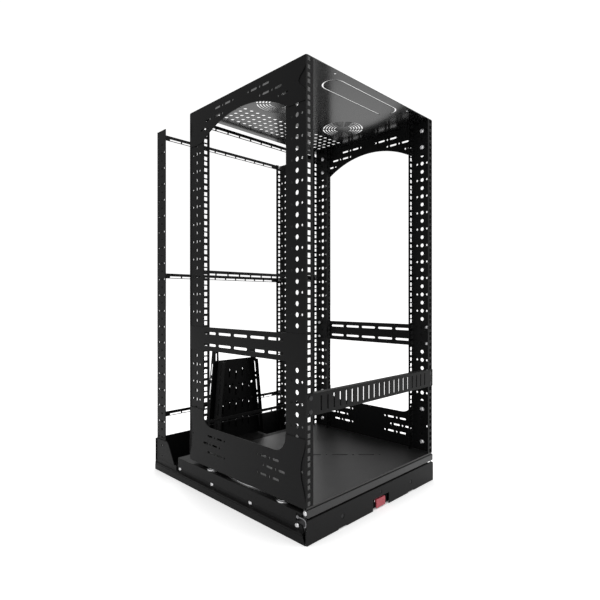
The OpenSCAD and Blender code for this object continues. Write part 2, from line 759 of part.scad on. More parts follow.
rack_bolts();  // rack_bolts_left
on_side(1) rack_bolts();  // rack_bolts_right
vent_panel();
panel_screws();
cage_nuts();
cable_shelf();
cable_arm_inner();
arm_hinge_pin();
cable_arm_outer();
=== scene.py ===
"""Looks of a pull-out, turning 19 inch equipment rack, built round its fixed frame."""

import json
import math

import bmesh
import bpy
import numpy as np
from bpy.props import FloatProperty, FloatVectorProperty, IntProperty, PointerProperty
from bpy.types import Operator, Panel, PropertyGroup
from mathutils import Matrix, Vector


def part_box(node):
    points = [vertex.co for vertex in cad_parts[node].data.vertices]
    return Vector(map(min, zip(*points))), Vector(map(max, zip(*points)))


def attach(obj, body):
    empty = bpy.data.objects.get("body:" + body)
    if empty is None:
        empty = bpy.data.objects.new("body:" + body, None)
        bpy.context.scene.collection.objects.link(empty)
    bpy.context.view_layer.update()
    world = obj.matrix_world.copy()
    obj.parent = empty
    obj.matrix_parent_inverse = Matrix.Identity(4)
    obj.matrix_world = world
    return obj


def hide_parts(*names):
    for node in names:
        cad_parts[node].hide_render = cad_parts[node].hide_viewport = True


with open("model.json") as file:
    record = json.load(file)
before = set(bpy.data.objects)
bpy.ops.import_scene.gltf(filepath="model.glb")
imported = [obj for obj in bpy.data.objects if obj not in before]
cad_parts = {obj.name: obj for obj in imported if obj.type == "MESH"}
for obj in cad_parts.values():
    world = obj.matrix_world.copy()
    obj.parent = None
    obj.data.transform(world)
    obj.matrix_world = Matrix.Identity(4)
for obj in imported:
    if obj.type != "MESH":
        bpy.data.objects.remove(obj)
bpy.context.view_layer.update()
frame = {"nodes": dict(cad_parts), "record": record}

bl_info = {
    "name": "Turning Rack",
    "version": (1, 0, 0),
    "blender": (4, 5, 0),
    "location": "3D View > Sidebar > Turning Rack",
    "description": "Builds the finishes and small hardware of a pull-out, turning equipment rack",
    "category": "Object",
}

RACK_UNIT = 0.04445
MM = 0.001
SIDES = (("left", -1), ("right", 1))
CAMERA_X, CAMERA_Y = -0.8988, -0.939
CAMERA_TURN = -45
SOFTBOXES = (  # name, place, height of its aim, size, power
    ("key_softbox", (-2.2, -1.2, 2.6), 0.5, 2.2, 60),
    ("fill_softbox", (1.6, -2.8, 1.8), 0.5, 2.0, 45),
    ("back_softbox", (1.5, 2.5, 2.4), 0.6, 2.0, 50),
)


# ---------------------------------------------------------------- settings


class CoatSettings(PropertyGroup):
    tone: FloatVectorProperty(
        name="Coat tone", description="Colour of the powder coat on the frame",
        subtype="COLOR", size=3, min=0, max=1, default=(0.0036, 0.0036, 0.0038))
    front_tone: FloatVectorProperty(
        name="Front tone", description="Colour of the coat on the front trim and vent panel",
        subtype="COLOR", size=3, min=0, max=1, default=(0.0066, 0.0066, 0.0068))
    roughness: FloatProperty(
        name="Coat roughness", description="How matt the coat on the frame is",
        subtype="FACTOR", min=0, max=1, default=0.46)
    sheen: FloatProperty(
        name="Coat sheen", description="Strength of the highlights on the frame's coat",
        subtype="FACTOR", min=0, max=1, default=0.14)
    plate_sheen: FloatProperty(
        name="Plate sheen", description="Strength of the highlights on the top plate",
        subtype="FACTOR", min=0, max=1, default=0.66)
    plate_roughness: FloatProperty(
        name="Plate roughness", description="How matt the top plate is",
        subtype="FACTOR", min=0, max=1, default=0.2)
    floor_sheen: FloatProperty(
        name="Floor sheen", description="Strength of the highlights on the floor plate",
        subtype="FACTOR", min=0, max=1, default=0.66)
    floor_roughness: FloatProperty(
        name="Floor roughness", description="How matt the floor plate is",
        subtype="FACTOR", min=0, max=1, default=0.42)
    edge_radius: FloatProperty(
        name="Edge radius", description="Radius of the softened sheet edges",
        unit="LENGTH", min=0, max=0.003, default=0.0009)
    latch_colour: FloatVectorProperty(
        name="Latch colour", description="Colour of the moulded latch paddle",
        subtype="COLOR", size=3, min=0, max=1, default=(0.6, 0.1, 0.13))


class HardwareSettings(PropertyGroup):
    around: IntProperty(
        name="Head facets", description="Steps round each screw head", min=16, max=64, default=36)
    dome: FloatProperty(
        name="Dome power", description="How flat a screw head stays before its edge falls away",
        min=1.5, max=6, default=2.6)
    recess: FloatProperty(
        name="Recess depth", description="Depth of a drive recess as a share of the head's height",
        subtype="FACTOR", min=0, max=0.9, default=0.6)
    wire: FloatProperty(
        name="Spring wire", description="Diameter of the latch spring's wire",
        unit="LENGTH", min=0.0005, max=0.0015, default=0.0011)
    rib_pitch: FloatProperty(
        name="Rib pitch", description="Distance between the grip ribs of the latch paddle",
        unit="LENGTH", min=0.001, max=0.005, default=0.0026)


class StageSettings(PropertyGroup):
    lens: FloatProperty(
        name="Lens", description="Focal length of the camera", min=10, max=100, default=28.18)
    eye_height: FloatProperty(
        name="Eye height", description="Height of the camera above the floor",
        unit="LENGTH", min=0, max=2, default=0.4815)
    floor_tone: FloatVectorProperty(
        name="Floor tone", description="Colour of the studio floor",
        subtype="COLOR", size=3, min=0, max=1, default=(0.8, 0.8, 0.8))
    backdrop: FloatProperty(
        name="Backdrop", description="Brightness of the white backdrop to the camera",
        min=0, max=5, default=1.06)
    sky: FloatProperty(
        name="Surround", description="Brightness of the surround that lights the rack",
        min=0, max=5, default=0.5)
    lamps: FloatProperty(
        name="Softboxes", description="Strength of the three soft lights", min=0, max=5, default=0.5)


# ---------------------------------------------------------------- surfaces


def grid_quads(rows, cols):
    """Quads between neighbouring rows of a grid whose last column joins the first."""
    row = np.arange(rows - 1)[:, None] * cols
    col = np.arange(cols)[None, :]
    after = (col + 1) % cols
    quads = np.stack([row + col, row + after, row + cols + after, row + cols + col], -1)
    return quads.reshape(-1, 4)


def capped(rings):
    """Closes a stack of rings, shaped (rows, cols, 3), with a pole at the middle of each end ring.
    The poles are the last two vertices, and the first ring's comes first."""
    rows, cols, _ = rings.shape
    poles = np.stack([rings[0].mean(0), rings[-1].mean(0)])
    verts = np.vstack([rings.reshape(-1, 3), poles])
    col = np.arange(cols)
    after = (col + 1) % cols
    last = (rows - 1) * cols
    first_fan = np.stack([after, col, np.full(cols, rows * cols)], -1)
    last_fan = np.stack([last + col, last + after, np.full(cols, rows * cols + 1)], -1)
    return verts, [grid_quads(rows, cols), first_fan, last_fan]


def revolved(radius, height, around):
    """Turns a profile about +Z: x = r cos a, y = r sin a, z = h, and closes both ends."""
    angle = np.linspace(0, 2 * np.pi, around, endpoint=False)
    x = np.outer(radius, np.cos(angle))
    y = np.outer(radius, np.sin(angle))
    z = np.outer(height, np.ones(around))
    return capped(np.stack([x, y, z], -1))


def tube(path, radius, reference, around, squash=1.0):
    """Carries a circle along a path. Its radius lies along the path's normal, which is square to a
    reference direction, and squash times it along the binormal."""
    tangent = np.gradient(path, axis=0)
    tangent /= np.linalg.norm(tangent, axis=1, keepdims=True)
    normal = np.cross(tangent, reference)
    normal /= np.linalg.norm(normal, axis=1, keepdims=True)
    binormal = np.cross(tangent, normal)
    angle = np.linspace(0, 2 * np.pi, around, endpoint=False)
    across = normal[:, None, :] * np.cos(angle)[None, :, None]
    along = binormal[:, None, :] * np.sin(angle)[None, :, None] * squash
    return capped(path[:, None, :] + radius * (across + along))


def pillow(outline, length, power=14, steps=25):
    """Lofts a closed (y, z) outline along X. Each section shrinks to the outline's middle by
    (1 - |u| ** power) ** (1 / power), u running from -1 to 1, which rounds both ends. The end
    sections keep a small share of their size."""
    smallest = 0.02
    u = -np.cos(np.linspace(0, np.pi, steps))
    size = np.maximum((1 - np.abs(u) ** power) ** (1 / power), smallest)
    middle = outline.mean(0)
    section = middle + (outline - middle)[None] * size[:, None, None]
    x = np.repeat((u * length / 2)[:, None, None], len(outline), 1)
    return capped(np.concatenate([x, section], -1))


def rounded_rectangle(low, high, radius, arc=6):
    """Outline of a rectangle in (y, z) with quarter circles at its corners."""
    turn = np.linspace(0, np.pi / 2, arc)
    points = []
    for k, (at_far_y, at_top) in enumerate(((1, 1), (0, 1), (0, 0), (1, 0))):
        centre = np.array([
            high[0] - radius if at_far_y else low[0] + radius,
            high[1] - radius if at_top else low[1] + radius])
        angle = turn + k * np.pi / 2
        points.append(centre + radius * np.stack([np.cos(angle), np.sin(angle)], -1))
    return np.concatenate(points)


def smooth_path(points, steps):
    """A Catmull-Rom curve through given points: each stretch is a cubic whose end slopes are
    half the chord between its neighbours."""
    p = np.vstack([2 * points[0] - points[1], points, 2 * points[-1] - points[-2]])
    t = np.linspace(0, 1, steps, endpoint=False)[None, :, None]
    a, b, c, d = (p[i:len(p) - 3 + i][:, None, :] for i in range(4))
    curve = 0.5 * (2 * b + (c - a) * t + (2 * a - 5 * b + 4 * c - d) * t ** 2
                   + (3 * b - a - 3 * c + d) * t ** 3)
    return np.vstack([curve.reshape(-1, 3), points[-1:]])


def placed(shape, origin, axis=(0, 0, 1)):
    """Turns a shape's +Z to an axis and moves it to an origin."""
    verts, faces = shape
    w = np.array(axis, float)
    helper = np.array([0, 0, 1.0]) if abs(w[2]) < 0.9 else np.array([1.0, 0, 0])
    u = np.cross(helper, w)
    u /= np.linalg.norm(u)
    v = np.cross(w, u)
    return verts @ np.stack([u, v, w]) + np.array(origin, float), faces


def joined(shapes):
    """Several shapes as one, with their face numbers shifted on."""
    verts, faces, start = [], [], 0
    for shape_verts, shape_faces in shapes:
        verts.append(shape_verts)
        faces += [block + start for block in shape_faces]
        start += len(shape_verts)
    return np.vstack(verts), faces


def piece(name, shape, body, finish, replaces):
    """Makes a closed shape a named piece of the object, with its faces turned outwards. Its finish
    is the name of a material that the coats operator has made."""
    crease = 40
    verts, faces = shape
    mesh = bpy.data.meshes.new(name)
    mesh.from_pydata(verts.tolist(), [], [f for block in faces for f in block.tolist()])
    work = bmesh.new()
    work.from_mesh(mesh)
    bmesh.ops.recalc_face_normals(work, faces=work.faces)
    work.to_mesh(mesh)
    work.free()
    mesh.shade_smooth()
    mesh.set_sharp_from_angle(angle=math.radians(crease))
    mesh.materials.append(bpy.data.materials[finish])
    obj = bpy.data.objects.new(name, mesh)
    bpy.context.scene.collection.objects.link(obj)
    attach(obj, body)
    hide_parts(*replaces)


# ---------------------------------------------------------------- materials


def add(tree, kind, settings=None, **values):
    """A node with its settings and the plain values of its sockets."""
    node = tree.nodes.new(kind)
    for key, value in (settings or {}).items():
        setattr(node, key, value)
    for key, value in values.items():
        node.inputs[key.replace("_", " ")].default_value = value
    return node


def math_node(tree, operation, a, b=0.0, clamp=False):
    """A Math node fed by numbers or sockets."""
    node = tree.nodes.new("ShaderNodeMath")
    node.operation = operation
    node.use_clamp = clamp
    for socket, value in zip(node.inputs, (a, b)):
        if isinstance(value, (int, float)):
            socket.default_value = value
        else:
            tree.links.new(value, socket)
    return node.outputs[0]


def varied(tree, factor, middle, spread):
    """A value that changes over the surface: middle + spread x (factor - 1/2)."""
    return math_node(tree, "ADD", math_node(tree, "MULTIPLY", factor, spread), middle - spread / 2)


def shade(tone, factor, lift=0.0):
    """A tone made darker or lighter: factor x each channel + lift, at most 1."""
    return [min(1, channel * factor + lift) for channel in tone]


def own_place(tree):
    """The place on the piece, in its own coordinates."""
    return tree.nodes.new("ShaderNodeTexCoord").outputs["Object"]


def noise_over(tree, place, **values):
    """A noise texture read at a place."""
    noise = add(tree, "ShaderNodeTexNoise", **values)
    tree.links.new(place, noise.inputs["Vector"])
    return noise


def shader_group(name, inputs, outputs, build):
    """A named shader group, built once. The inputs map socket names to their usual values, and the
    outputs map them to kinds of socket."""
    if name in bpy.data.node_groups:
        return bpy.data.node_groups[name]
    tree = bpy.data.node_groups.new(name, "ShaderNodeTree")
    for key, value in inputs.items():
        socket = tree.interface.new_socket(name=key, in_out="INPUT", socket_type="NodeSocketFloat")
        socket.default_value = value
    for key, kind in outputs.items():
        tree.interface.new_socket(name=key, in_out="OUTPUT", socket_type=kind)
    start = tree.nodes.new("NodeGroupInput")
    end = tree.nodes.new("NodeGroupOutput")
    for key, socket in build(tree, start.outputs).items():
        tree.links.new(socket, end.inputs[key])
    return tree


def place_group(tree, group, **values):
    """A group placed in a material, with its own values."""
    node = tree.nodes.new("ShaderNodeGroup")
    node.node_tree = group
    for key, value in values.items():
        node.inputs[key].default_value = value
    return node


def grain_group():
    """Orange-peel of a powder coat, with a slow mottle across the sheet."""
    def build(tree, given):
        where = own_place(tree)
        fine = noise_over(tree, where, Detail=2.0, Roughness=0.5)
        coarse = noise_over(tree, where, Detail=3.0, Roughness=0.55)
        tree.links.new(given["Grain"], fine.inputs["Scale"])
        tree.links.new(given["Mottle"], coarse.inputs["Scale"])
        return {"Height": fine.outputs["Fac"], "Mottle": coarse.outputs["Fac"]}
    return shader_group(
        "coat grain", {"Grain": 900.0, "Mottle": 6.0},
        {"Height": "NodeSocketFloat", "Mottle": "NodeSocketFloat"}, build)


def edge_group():
    """Softened edges: the rounded normal, and a broken mask where it leaves the flat one."""
    def build(tree, given):
        soft = add(tree, "ShaderNodeBevel", {"samples": 4})
        tree.links.new(given["Radius"], soft.inputs["Radius"])
        flat = tree.nodes.new("ShaderNodeNewGeometry")
        dot = add(tree, "ShaderNodeVectorMath", {"operation": "DOT_PRODUCT"})
        tree.links.new(soft.outputs["Normal"], dot.inputs[0])
        tree.links.new(flat.outputs["True Normal"], dot.inputs[1])
        lean = math_node(tree, "SUBTRACT", 1.0, dot.outputs["Value"])
        noise = noise_over(tree, own_place(tree), Scale=90.0, Detail=3.0, Roughness=0.6)
        broken = math_node(tree, "MULTIPLY", lean, noise.outputs["Fac"])
        mask = math_node(tree, "MULTIPLY", broken, given["Wear"], clamp=True)
        return {"Mask": mask, "Normal": soft.outputs["Normal"]}
    return shader_group(
        "edge wear", {"Radius": 0.001, "Wear": 3.0},
        {"Mask": "NodeSocketFloat", "Normal": "NodeSocketVector"}, build)


def dust_group():
    """Fine dust that settles on faces that look up."""
    def build(tree, given):
        normal = tree.nodes.new("ShaderNodeNewGeometry").outputs["Normal"]
        split = tree.nodes.new("ShaderNodeSeparateXYZ")
        tree.links.new(normal, split.inputs[0])
        up = math_node(tree, "POWER", math_node(tree, "MAXIMUM", split.outputs["Z"], 0.0), 3.0)
        noise = noise_over(tree, own_place(tree), Scale=14.0, Detail=6.0, Roughness=0.65)
        patch = math_node(tree, "MULTIPLY", up, noise.outputs["Fac"])
        return {"Mask": math_node(tree, "MULTIPLY", patch, given["Amount"], clamp=True)}
    return shader_group("dust", {"Amount": 0.1}, {"Mask": "NodeSocketFloat"}, build)


def mixed(tree, factor, first, second):
    """A colour mix; each colour is a plain one or a socket."""
    node = add(tree, "ShaderNodeMix", {"data_type": "RGBA"})
    tree.links.new(factor, node.inputs["Factor"])
    for key, value in (("A", first), ("B", second)):
        socket = [s for s in node.inputs if s.name == key and s.type == "RGBA"][0]
        if isinstance(value, bpy.types.NodeSocket):
            tree.links.new(value, socket)
        else:
            socket.default_value = (*value, 1.0)
    return [s for s in node.outputs if s.type == "RGBA"][0]


def blank_material(name):
    """A new material, with its node tree and its Principled shader."""
    material = bpy.data.materials.new(name)
    material.use_nodes = True
    return material, material.node_tree, material.node_tree.nodes["Principled BSDF"]


def bump(tree, height, strength, distance, normal=None):
    """A normal tilted by a height, over another normal where one is given."""
    node = add(tree, "ShaderNodeBump", Strength=strength, Distance=distance)
    tree.links.new(height, node.inputs["Height"])
    if normal is not None:
        tree.links.new(normal, node.inputs["Normal"])
    return node.outputs["Normal"]


def powder_coat(name, tone, roughness, sheen, grain=900.0, wear_and_highlight=2.0, dust=0.05, texture=0.25):
    """Semi-gloss black powder coat with orange-peel, lighter edges (edge wear, and where the lightening is
    strong, as on the front rail, a painted highlight) and a trace of dust.
    """
    settings = bpy.context.scene.rack_coat
    material, tree, shader = blank_material(name)
    shader.inputs["Specular IOR Level"].default_value = sheen
    skin = place_group(tree, grain_group(), Grain=grain, Mottle=5.0)
    edge = place_group(tree, edge_group(), Radius=settings.edge_radius, Wear=wear_and_highlight)
    film = place_group(tree, dust_group(), Amount=dust)
    base = mixed(tree, skin.outputs["Mottle"], tone, shade(tone, 1.35))
    # edges made lighter along the edge mask: edge wear, and at a high amount a painted highlight
    rubbed = mixed(tree, edge.outputs["Mask"], base, shade(tone, 5, 0.05))
    dusty = mixed(tree, film.outputs["Mask"], rubbed, (0.3, 0.29, 0.28))
    tree.links.new(dusty, shader.inputs["Base Color"])
    rough = varied(tree, skin.outputs["Mottle"], roughness, 0.12)
    dulled = math_node(tree, "ADD", rough, film.outputs["Mask"], clamp=True)
    tree.links.new(dulled, shader.inputs["Roughness"])
    normal = bump(tree, skin.outputs["Height"], texture, 0.00012, edge.outputs["Normal"])
    tree.links.new(normal, shader.inputs["Normal"])
    return material


def bright_metal(name, tone, roughness, stretch=(1, 1, 1)):
    """Plated or ground steel: a fine directional scratch over a slow change of shade."""
    material, tree, shader = blank_material(name)
    shader.inputs["Metallic"].default_value = 1.0
    turn = add(tree, "ShaderNodeMapping", Scale=stretch)
    tree.links.new(own_place(tree), turn.inputs["Vector"])
    lines = noise_over(tree, turn.outputs["Vector"], Scale=420.0, Detail=4.0, Roughness=0.6)
    skin = place_group(tree, grain_group(), Grain=500.0, Mottle=40.0)
    edge = place_group(tree, edge_group(), Radius=0.0004, Wear=1.0)
    base = mixed(tree, skin.outputs["Mottle"], shade(tone, 0.72), tone)
    rubbed = mixed(tree, edge.outputs["Mask"], base, shade(tone, 1.3))
    tree.links.new(rubbed, shader.inputs["Base Color"])
    tree.links.new(varied(tree, lines.outputs["Fac"], roughness, 0.2), shader.inputs["Roughness"])
    normal = bump(tree, lines.outputs["Fac"], 0.12, 0.00008, edge.outputs["Normal"])
    tree.links.new(normal, shader.inputs["Normal"])
    return material


def ring_metal(name, tone, centre):
    """Turned steel: grooves that run round the turning axis, from the distance to it."""
    material, tree, shader = blank_material(name)
    shader.inputs["Metallic"].default_value = 1.0
    shift = add(tree, "ShaderNodeMapping", Location=(-centre[0], -centre[1], 0.0), Scale=(1, 1, 0))
    tree.links.new(own_place(tree), shift.inputs["Vector"])
    reach = add(tree, "ShaderNodeVectorMath", {"operation": "LENGTH"})
    tree.links.new(shift.outputs["Vector"], reach.inputs[0])
    grooves = add(tree, "ShaderNodeTexNoise", {"noise_dimensions": "1D"}, Scale=2600.0, Detail=3.0)
    tree.links.new(reach.outputs["Value"], grooves.inputs["W"])
    skin = place_group(tree, grain_group(), Grain=700.0, Mottle=25.0)
    base = mixed(tree, skin.outputs["Mottle"], shade(tone, 0.8), tone)
    tree.links.new(base, shader.inputs["Base Color"])
    tree.links.new(varied(tree, grooves.outputs["Fac"], 0.295, 0.15), shader.inputs["Roughness"])
    tree.links.new(bump(tree, grooves.outputs["Fac"], 0.15, 0.00008), shader.inputs["Normal"])
    return material


def red_nylon():
    """Moulded nylon with a fine sparked texture and slightly rubbed ribs."""
    tone = list(bpy.context.scene.rack_coat.latch_colour)
    material, tree, shader = blank_material("red_nylon")
    shader.inputs["Subsurface Weight"].default_value = 0.03
    skin = place_group(tree, grain_group(), Grain=1500.0, Mottle=60.0)
    edge = place_group(tree, edge_group(), Radius=0.0005, Wear=3.0)
    base = mixed(tree, skin.outputs["Mottle"], shade(tone, 0.8), tone)
    rubbed = mixed(tree, edge.outputs["Mask"], base, shade(tone, 1.2, 0.08))
    tree.links.new(rubbed, shader.inputs["Base Color"])
    tree.links.new(varied(tree, skin.outputs["Mottle"], 0.42, 0.2), shader.inputs["Roughness"])
    normal = bump(tree, skin.outputs["Height"], 0.3, 0.0001, edge.outputs["Normal"])
    tree.links.new(normal, shader.inputs["Normal"])
    return material


def studio_floor():
    """A pale floor that glows to the camera and, more faintly, to reflections. The glow fades where
    something stands close above the floor, which leaves a soft contact shadow."""
    settings = bpy.context.scene.rack_stage
    camera_glow = settings.backdrop * 0.72
    glossy_glow = 0.45
    shadow_reach = 0.16
    shadow_power = 0.8
    tone = list(settings.floor_tone)
    material, tree, shader = blank_material("studio_floor")
    skin = place_group(tree, grain_group(), Grain=60.0, Mottle=0.8)
    base = mixed(tree, skin.outputs["Mottle"], shade(tone, 0.985), tone)
    tree.links.new(base, shader.inputs["Base Color"])
    shader.inputs["Roughness"].default_value = 0.8
    open_sky = add(tree, "ShaderNodeAmbientOcclusion", {"samples": 12}, Distance=shadow_reach)
    openness = math_node(tree, "POWER", open_sky.outputs["AO"], shadow_power)
    seen = tree.nodes.new("ShaderNodeLightPath")
    to_camera = math_node(tree, "MULTIPLY", seen.outputs["Is Camera Ray"], camera_glow)
    to_gloss = math_node(tree, "MULTIPLY", seen.outputs["Is Glossy Ray"], glossy_glow)
    glow = math_node(tree, "MULTIPLY", math_node(tree, "ADD", to_camera, to_gloss), openness)
    tree.links.new(glow, shader.inputs["Emission Strength"])
    shader.inputs["Emission Color"].default_value = (1, 1, 1, 1)
    return material


def white_surround():
    """A world that is bright white to the camera and a soft, even light to everything else."""
    settings = bpy.context.scene.rack_stage
    world = bpy.data.worlds.new("white_surround")
    world.use_nodes = True
    tree = world.node_tree
    seen = tree.nodes.new("ShaderNodeLightPath")
    extra = math_node(tree, "MULTIPLY", seen.outputs["Is Camera Ray"], settings.backdrop - settings.sky)
    background = tree.nodes["Background"]
    background.inputs["Color"].default_value = (1, 1, 1, 1)
    tree.links.new(math_node(tree, "ADD", extra, settings.sky), background.inputs["Strength"])
    return world


# ---------------------------------------------------------------- small hardware


def cross_recess(x, y, reach, width):
    """Share of full depth of a cross recess. It falls away across an arm as 1 - (near / width) ** 4
    and along it as 1 - (far / reach) ** 3, near and far being the smaller and larger of |x| and |y|."""
    near = np.minimum(np.abs(x), np.abs(y)) / width
    far = np.maximum(np.abs(x), np.abs(y)) / reach
    return np.clip(1 - near ** 4, 0, 1) * np.clip(1 - far ** 3, 0, 1)


def hex_recess(x, y, flat):
    """Share of full depth of a hexagon socket, from the distance across its flats."""
    slope = 0.12
    angle = np.radians([0, 60, 120])
    across = np.abs(x[..., None] * np.cos(angle) + y[..., None] * np.sin(angle)).max(-1)
    return np.clip((flat - across) / (slope * flat), 0, 1)


def screw_head(radius, height, drive, around):
    """A domed head on the XY plane: z = h (1 - fall (r / R) ** power), less its drive recess."""
    settings = bpy.context.scene.rack_hardware
    fall = 0.86
    # the rings are a little closer where the recess is cut
    r = radius * np.concatenate([np.linspace(0.03, 0.6, 14), np.linspace(0.66, 0.985, 7), [1.0]])
    z = height * (1 - (r / radius) ** settings.dome * fall)
    underside_r = np.array([radius, radius * 0.5])
    verts, faces = revolved(np.concatenate([r, underside_r]), np.concatenate([z, np.zeros(2)]), around)
    dome_pole = -2
    top = np.zeros(len(verts), bool)
    top[:len(r) * around] = True
    top[dome_pole] = True
    if drive == "cross":
        share = cross_recess(verts[:, 0], verts[:, 1], reach=radius * 0.5, width=radius * 0.13)
    else:
        share = hex_recess(verts[:, 0], verts[:, 1], flat=radius * 0.4)
    verts[:, 2] -= np.where(top, share * height * settings.recess, 0)
    return verts, faces


def shank(radius, length, around=20):
    """A plain round shank from the XY plane down -Z, with a small point chamfer."""
    r = np.array([0.3, 1.0, 1.0, 0.72]) * radius
    z = np.array([0.0, 0.0, -0.85 * length, -length])
    return revolved(r, z, around)


def screws_at(places, axis, drive, radius, height, length, shank_radius):
    """One head and shank at each place, with heads towards the axis."""
    around = bpy.context.scene.rack_hardware.around
    one = joined([screw_head(radius, height, drive, around), shank(shank_radius, length)])
    return joined([placed(one, place, axis) for place in places])


def flat_plate(outline, x, z, near_y, far_y):
    """A flat plate across the depth: an (x, z) outline about a centre, drawn from one y to another."""
    rings = [
        np.stack([x + outline[:, 0], np.full(len(outline), y), z + outline[:, 1]], -1)
        for y in (near_y, far_y)]
    return capped(np.stack(rings))


def outer_x(low, high, sign):
    """The x of a box's face that looks away from the middle on the side with that sign."""
    return high.x if sign > 0 else low.x


# ---------------------------------------------------------------- operators


class RackOperator:
    """What all the builders of the rack share"""
    bl_options = {"REGISTER", "UNDO"}


class RACK_OT_coats(RackOperator, Operator):
    """Gives every part of the frame its coat, plating or turned finish"""
    bl_idname = "rack.coats"
    bl_label = "Coats and platings"

    def execute(self, context):
        coat = context.scene.rack_coat
        tone = list(coat.tone)
        front_tone = list(coat.front_tone)
        low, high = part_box("upper_race")
        oxide_and_painted_shade = bright_metal("black_oxide", (0.06, 0.06, 0.062), 0.42)
        by_slot = {
            "black_steel": powder_coat("frame_coat", tone, coat.roughness, coat.sheen),
            "black_front": powder_coat("front_coat", front_tone, coat.roughness - 0.02, coat.sheen),
            "zinc": bright_metal("zinc_plate", (0.62, 0.63, 0.65), 0.34, stretch=(1, 0.05, 1)),
            "race_steel": ring_metal("turned_steel", (0.72, 0.72, 0.73), (low + high) / 2),
            "bolt_zinc": bright_metal("fastener_zinc", (0.96, 0.96, 0.97), 0.38),
            "bolt_black": oxide_and_painted_shade,
            "red_plastic": red_nylon(),
        }
        plate_coat = powder_coat(
            "plate_coat", tone, coat.plate_roughness, coat.plate_sheen,
            grain=1300.0, dust=0.015, texture=0.06)
        floor_coat = powder_coat(
            "floor_coat", tone, coat.floor_roughness, coat.floor_sheen,
            grain=1100.0, dust=0.03, texture=0.1)
        # the front rail's coat is the front coat made 1.3 times lighter, with strongly lightened edges: a
        # painted highlight along the rail's edges
        rail_coat = powder_coat(
            "rail_coat", shade(front_tone, 1.3), coat.roughness - 0.14, coat.sheen * 4, wear_and_highlight=9.0)
        # the cable arms and the cable shelf take the frame coat at 0.7 of its tone; on the shelf, which
        # stands where the rear lies in shadow, this darkness is painted shade
        arm_coat = powder_coat("arm_coat", shade(tone, 0.7), coat.roughness + 0.08, coat.sheen * 0.7)
        lever = bright_metal("lever_zinc", (0.34, 0.34, 0.35), 0.4)
        special = {"top_plate": plate_coat, "floor_plate": floor_coat, "front_rail": rail_coat}
        # the outer slide members take the black oxide finish in place of zinc plating: partly a black slide,
        # partly painted shade in the deep gap under the carriage's skirt
        special.update({"slide_outer_" + side: oxide_and_painted_shade for side, _ in SIDES})
        special.update({node: arm_coat for node in ("cable_arm_inner", "cable_arm_outer", "cable_shelf")})
        special.update({node: lever for node in ("turn_lever_left", "turn_lever_right", "lever_pins")})
        for part in frame["record"]["subparts"]:
            obj = frame["nodes"][part["node"]]
            obj.data.materials.clear()
            obj.data.materials.append(special.get(part["node"], by_slot[part["material_slot"]]))
        return {"FINISHED"}


class RACK_OT_slide_screws(RackOperator, Operator):
    """Cross-recessed screws along both slides"""
    bl_idname = "rack.slide_screws"
    bl_label = "Slide screws"

    def execute(self, context):
        head_height = 2.8 * MM
        for side, sign in SIDES:
            node = "slide_screws_" + side
            low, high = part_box(node)
            radius = (high.z - low.z) / 2
            seat = outer_x(low, high, sign) - sign * head_height
            z = (low.z + high.z) / 2
            places = [(seat, y, z) for y in np.linspace(low.y + radius, high.y - radius, 4)]
            shape = screws_at(
                places, (sign, 0, 0), "cross", radius=radius, height=head_height,
                length=abs(seat - outer_x(low, high, -sign)), shank_radius=2.5 * MM)
            piece("slide_screw_set_" + side, shape, "base", "fastener_zinc", [node])
        return {"FINISHED"}


class RACK_OT_rack_bolts(RackOperator, Operator):
    """Button-head bolts that hold the side plates and braces to the posts"""
    bl_idname = "rack.rack_bolts"
    bl_label = "Rack bolts"

    def execute(self, context):
        large_inset = 28 * MM
        small_inset = 13.6 * MM
        head_depth = 4.5 * MM
        for side, sign in SIDES:
            node = "rack_bolts_" + side
            low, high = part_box(node)
            front_post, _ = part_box("post_front_" + side)
            _, rear_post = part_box("post_rear_" + side)
            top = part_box("side_top_" + side)[1].z
            brace_low, brace_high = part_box("mid_brace_" + side)
            middle = (brace_low.z + brace_high.z) / 2
            seat = outer_x(low, high, -sign) + sign * head_depth
            length = abs(outer_x(low, high, sign) - seat)
            heights = [top - RACK_UNIT * n for n in (0.5, 1.5)]
            heights += [front_post.z + RACK_UNIT * n for n in (2.5, 0.5)]
            large = [
                (seat, y, z)
                for y in (front_post.y + large_inset, rear_post.y - large_inset) for z in heights]
            small = [
                (seat, y, middle + offset) for y in (front_post.y + small_inset, rear_post.y - small_inset)
                for offset in (-RACK_UNIT / 2, RACK_UNIT / 2)]
            inwards = (-sign, 0, 0)
            shape = joined([
                screws_at(
                    large, inwards, "hex",
                    radius=6.5 * MM, height=4.4 * MM, length=length, shank_radius=3 * MM),
                screws_at(
                    small, inwards, "hex",
                    radius=5 * MM, height=3.4 * MM, length=length, shank_radius=2.6 * MM)])
            piece("rack_bolt_set_" + side, shape, "rack", "fastener_zinc", [node])
        return {"FINISHED"}


class RACK_OT_upright_bolts(RackOperator, Operator):
    """Button-head bolts that hold the rear uprights to the base"""
    bl_idname = "rack.upright_bolts"
    bl_label = "Upright bolts"

    def execute(self, context):
        web = 2 * MM
        shortfall = 1.6 * MM  # leaves the gusset's hole open outside
        low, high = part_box("upright_bolts")
        radius = (high.y - low.y) / 2
        heads = []
        for side, sign in SIDES:
            seat = outer_x(*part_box("rear_upright_" + side), sign) - sign * web
            places = [(seat, (low.y + high.y) / 2, z) for z in (low.z + radius, high.z - radius)]
            length = abs(outer_x(low, high, sign) - seat) - shortfall
            heads.append(screws_at(
                places, (-sign, 0, 0), "hex",
                radius=radius, height=3.9 * MM, length=length, shank_radius=3 * MM))
        piece("upright_bolt_set", joined(heads), "base", "fastener_zinc", ["upright_bolts"])
        return {"FINISHED"}


